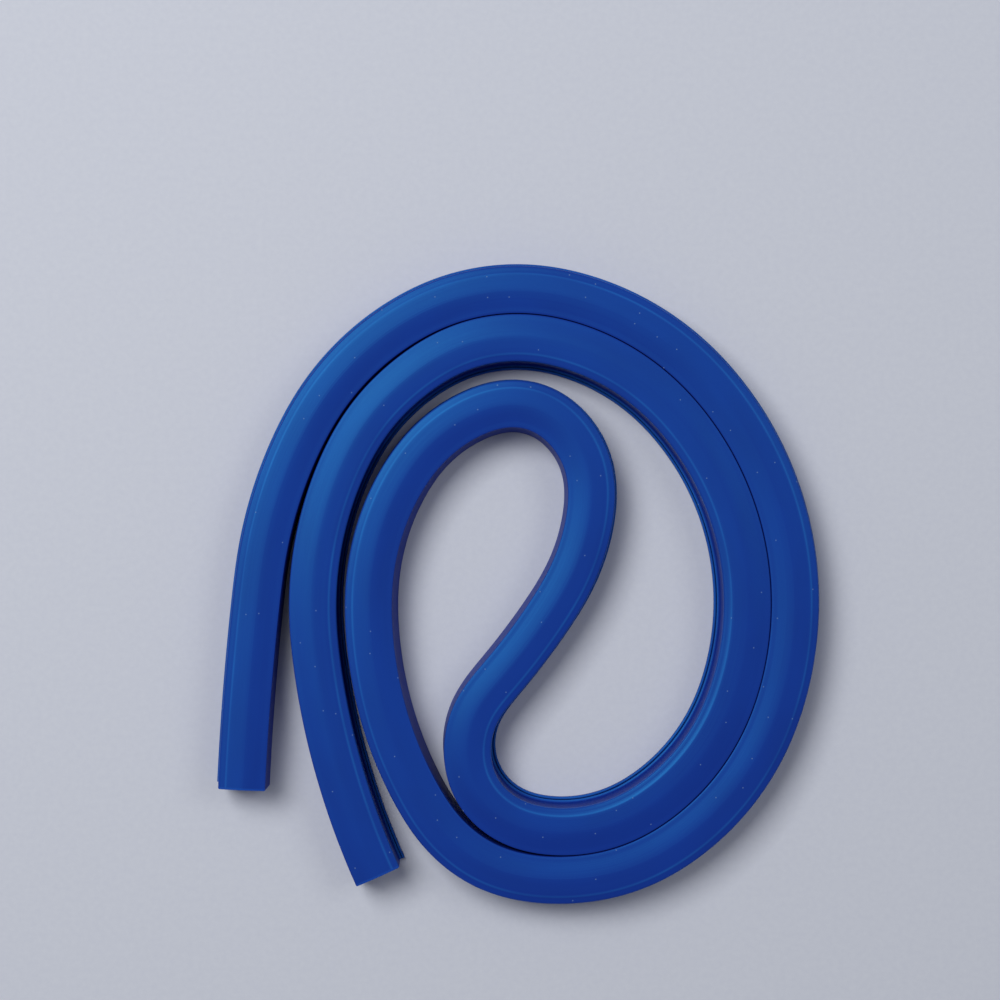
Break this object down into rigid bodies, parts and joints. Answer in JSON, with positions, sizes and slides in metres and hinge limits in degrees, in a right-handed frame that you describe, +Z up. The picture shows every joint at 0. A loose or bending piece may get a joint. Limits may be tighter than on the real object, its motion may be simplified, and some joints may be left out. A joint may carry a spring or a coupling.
{
  "type": "french curve",
  "caption": "Flexible drawing curve: a bendable vinyl strip over a soft metal core with a thin ruling flange along one side, rolled up flat as a double spiral.",
  "frame": {"origin": "centre of the coil's bounding box, on the surface it lies on", "axes": "+Z up, out of the surface; +Y along the coil's longer way, away from the two free ends; +X to the right"},
  "size_m": [0.1148, 0.122, 0.0098],
  "materials": {
    "vinyl": "satin",
    "core_metal": "dull",
    "plug_vinyl": "satin"
  },
  "bodies": {
    "link_01": {"sleeve_01": "vinyl", "core_01": "core_metal", "end_plug_a": "plug_vinyl"},
    "link_02": {"sleeve_02": "vinyl", "core_02": "core_metal"},
    "link_03": {"sleeve_03": "vinyl", "core_03": "core_metal"},
    "link_04": {"sleeve_04": "vinyl", "core_04": "core_metal"},
    "link_05": {"sleeve_05": "vinyl", "core_05": "core_metal"},
    "link_06": {"sleeve_06": "vinyl", "core_06": "core_metal"},
    "link_07": {"sleeve_07": "vinyl", "core_07": "core_metal"},
    "link_08": {"sleeve_08": "vinyl", "core_08": "core_metal"},
    "link_09": {"sleeve_09": "vinyl", "core_09": "core_metal"},
    "link_10": {"sleeve_10": "vinyl", "core_10": "core_metal"},
    "link_11": {"sleeve_11": "vinyl", "core_11": "core_metal"},
    "link_12": {"sleeve_12": "vinyl", "core_12": "core_metal"},
    "link_13": {"sleeve_13": "vinyl", "core_13": "core_metal"},
    "link_14": {"sleeve_14": "vinyl", "core_14": "core_metal"},
    "link_15": {"sleeve_15": "vinyl", "core_15": "core_metal"},
    "link_16": {"sleeve_16": "vinyl", "core_16": "core_metal"},
    "link_17": {"sleeve_17": "vinyl", "core_17": "core_metal"},
    "link_18": {"sleeve_18": "vinyl", "core_18": "core_metal"},
    "link_19": {"sleeve_19": "vinyl", "core_19": "core_metal"},
    "link_20": {"sleeve_20": "vinyl", "core_20": "core_metal"},
    "link_21": {"sleeve_21": "vinyl", "core_21": "core_metal"},
    "link_22": {"sleeve_22": "vinyl", "core_22": "core_metal"},
    "link_23": {"sleeve_23": "vinyl", "core_23": "core_metal"},
    "link_24": {"sleeve_24": "vinyl", "core_24": "core_metal"},
    "link_25": {"sleeve_25": "vinyl", "core_25": "core_metal"},
    "link_26": {"sleeve_26": "vinyl", "core_26": "core_metal"},
    "link_27": {"sleeve_27": "vinyl", "core_27": "core_metal"},
    "link_28": {"sleeve_28": "vinyl", "core_28": "core_metal", "end_plug_b": "plug_vinyl"}
  },
  "joints": [
    {"name": "uncoil", "type": "hinge", "parent": "link_10", "child": "link_09", "pos_m": [-0.00056, -0.05435, 0.0049], "axis": [0, 0, -1], "range_deg": [0, 46]},
    {"name": "bend_end_a", "type": "hinge", "parent": "link_02", "child": "link_01", "pos_m": [-0.04863, 0.00141, 0.0049], "axis": [0, 0, -1], "range_deg": [-2, 45]},
    {"name": "bend_02", "type": "hinge", "parent": "link_03", "child": "link_02", "pos_m": [-0.03954, 0.03033, 0.0049], "axis": [0, 0, -1], "range_deg": [0, 27.75]},
    {"name": "bend_03", "type": "hinge", "parent": "link_04", "child": "link_03", "pos_m": [-0.01891, 0.05082, 0.0049], "axis": [0, 0, -1], "range_deg": [0, 36.75]},
    {"name": "bend_04", "type": "hinge", "parent": "link_05", "child": "link_04", "pos_m": [0.00778, 0.05459, 0.0049], "axis": [0, 0, -1], "range_deg": [0, 37.5]},
    {"name": "bend_05", "type": "hinge", "parent": "link_06", "child": "link_05", "pos_m": [0.0352, 0.03911, 0.0049], "axis": [0, 0, -1], "range_deg": [0, 33.75]},
    {"name": "bend_06", "type": "hinge", "parent": "link_07", "child": "link_06", "pos_m": [0.05078, 0.00827, 0.0049], "axis": [0, 0, -1], "range_deg": [0, 31.25]},
    {"name": "bend_07", "type": "hinge", "parent": "link_08", "child": "link_07", "pos_m": [0.04821, -0.02473, 0.0049], "axis": [0, 0, -1], "range_deg": [0, 34.25]},
    {"name": "bend_08", "type": "hinge", "parent": "link_09", "child": "link_08", "pos_m": [0.02826, -0.04963, 0.0049], "axis": [0, 0, -1], "range_deg": [0, 42]},
    {"name": "bend_10", "type": "hinge", "parent": "link_11", "child": "link_10", "pos_m": [-0.01695, -0.04214, 0.0049], "axis": [0, 0, -1], "range_deg": [0, 11.4]},
    {"name": "bend_11", "type": "hinge", "parent": "link_12", "child": "link_11", "pos_m": [-0.02743, -0.00382, 0.0049], "axis": [0, 0, -1], "range_deg": [0, 9.53]},
    {"name": "bend_12", "type": "hinge", "parent": "link_13", "child": "link_12", "pos_m": [-0.01989, 0.0217, 0.0049], "axis": [0, 0, -1], "range_deg": [0, 11.1]},
    {"name": "bend_13", "type": "hinge", "parent": "link_14", "child": "link_13", "pos_m": [-0.00455, 0.03308, 0.0049], "axis": [0, 0, -1], "range_deg": [0, 13.8]},
    {"name": "bend_14", "type": "hinge", "parent": "link_15", "child": "link_14", "pos_m": [0.00637, 0.03126, 0.0049], "axis": [0, 0, -1], "range_deg": [0, 16.27]},
    {"name": "bend_15", "type": "hinge", "parent": "link_16", "child": "link_15", "pos_m": [0.01339, 0.01707, 0.0049], "axis": [0, 0, -1], "range_deg": [0, 13.12]},
    {"name": "bend_16", "type": "hinge", "parent": "link_17", "child": "link_16", "pos_m": [0.00731, -0.00226, 0.0049], "axis": [0, 0, -1], "range_deg": [0, 5.92]},
    {"name": "bend_17", "type": "hinge", "parent": "link_17", "child": "link_18", "pos_m": [-0.00628, -0.02016, 0.0049], "axis": [0, 0, -1], "range_deg": [0, 2.02]},
    {"name": "bend_18", "type": "hinge", "parent": "link_18", "child": "link_19", "pos_m": [-0.01009, -0.03268, 0.0049], "axis": [0, 0, -1], "range_deg": [0, 5.9]},
    {"name": "bend_19", "type": "hinge", "parent": "link_19", "child": "link_20", "pos_m": [0.00157, -0.04561, 0.0049], "axis": [0, 0, -1], "range_deg": [0, 5.73]},
    {"name": "bend_20", "type": "hinge", "parent": "link_20", "child": "link_21", "pos_m": [0.02345, -0.04203, 0.0049], "axis": [0, 0, -1], "range_deg": [0, 18.9]},
    {"name": "bend_21", "type": "hinge", "parent": "link_21", "child": "link_22", "pos_m": [0.03974, -0.0217, 0.0049], "axis": [0, 0, -1], "range_deg": [0, 15.41]},
    {"name": "bend_22", "type": "hinge", "parent": "link_22", "child": "link_23", "pos_m": [0.04194, 0.00659, 0.0049], "axis": [0, 0, -1], "range_deg": [0, 14.06]},
    {"name": "bend_23", "type": "hinge", "parent": "link_23", "child": "link_24", "pos_m": [0.0286, 0.03299, 0.0049], "axis": [0, 0, -1], "range_deg": [0, 15.19]},
    {"name": "bend_24", "type": "hinge", "parent": "link_24", "child": "link_25", "pos_m": [0.00595, 0.04578, 0.0049], "axis": [0, 0, -1], "range_deg": [0, 16.87]},
    {"name": "bend_25", "type": "hinge", "parent": "link_25", "child": "link_26", "pos_m": [-0.01472, 0.04286, 0.0049], "axis": [0, 0, -1], "range_deg": [0, 16.54]},
    {"name": "bend_26", "type": "hinge", "parent": "link_26", "child": "link_27", "pos_m": [-0.03161, 0.02608, 0.0049], "axis": [0, 0, -1], "range_deg": [0, 15.41]},
    {"name": "bend_27", "type": "hinge", "parent": "link_27", "child": "link_28", "pos_m": [-0.03872, -0.01067, 0.0049], "axis": [0, 0, -1], "range_deg": [0, 11.81]}
  ],
  "couplings": [
    {"joint": "bend_02", "follows": "uncoil", "ratio": 0.6033},
    {"joint": "bend_03", "follows": "uncoil", "ratio": 0.7989},
    {"joint": "bend_04", "follows": "uncoil", "ratio": 0.8152},
    {"joint": "bend_05", "follows": "uncoil", "ratio": 0.7337},
    {"joint": "bend_06", "follows": "uncoil", "ratio": 0.6793},
    {"joint": "bend_07", "follows": "uncoil", "ratio": 0.7446},
    {"joint": "bend_08", "follows": "uncoil", "ratio": 0.913},
    {"joint": "bend_10", "follows": "uncoil", "ratio": 0.2478},
    {"joint": "bend_11", "follows": "uncoil", "ratio": 0.2071},
    {"joint": "bend_12", "follows": "uncoil", "ratio": 0.2413},
    {"joint": "bend_13", "follows": "uncoil", "ratio": 0.3},
    {"joint": "bend_14", "follows": "uncoil", "ratio": 0.3538},
    {"joint": "bend_15", "follows": "uncoil", "ratio": 0.2853},
    {"joint": "bend_16", "follows": "uncoil", "ratio": 0.1288},
    {"joint": "bend_17", "follows": "uncoil", "ratio": 0.044},
    {"joint": "bend_18", "follows": "uncoil", "ratio": 0.1283},
    {"joint": "bend_19", "follows": "uncoil", "ratio": 0.1245},
    {"joint": "bend_20", "follows": "uncoil", "ratio": 0.4109},
    {"joint": "bend_21", "follows": "uncoil", "ratio": 0.3351},
    {"joint": "bend_22", "follows": "uncoil", "ratio": 0.3057},
    {"joint": "bend_23", "follows": "uncoil", "ratio": 0.3302},
    {"joint": "bend_24", "follows": "uncoil", "ratio": 0.3668},
    {"joint": "bend_25", "follows": "uncoil", "ratio": 0.3595},
    {"joint": "bend_26", "follows": "uncoil", "ratio": 0.3351},
    {"joint": "bend_27", "follows": "uncoil", "ratio": 0.2568}
  ]
}
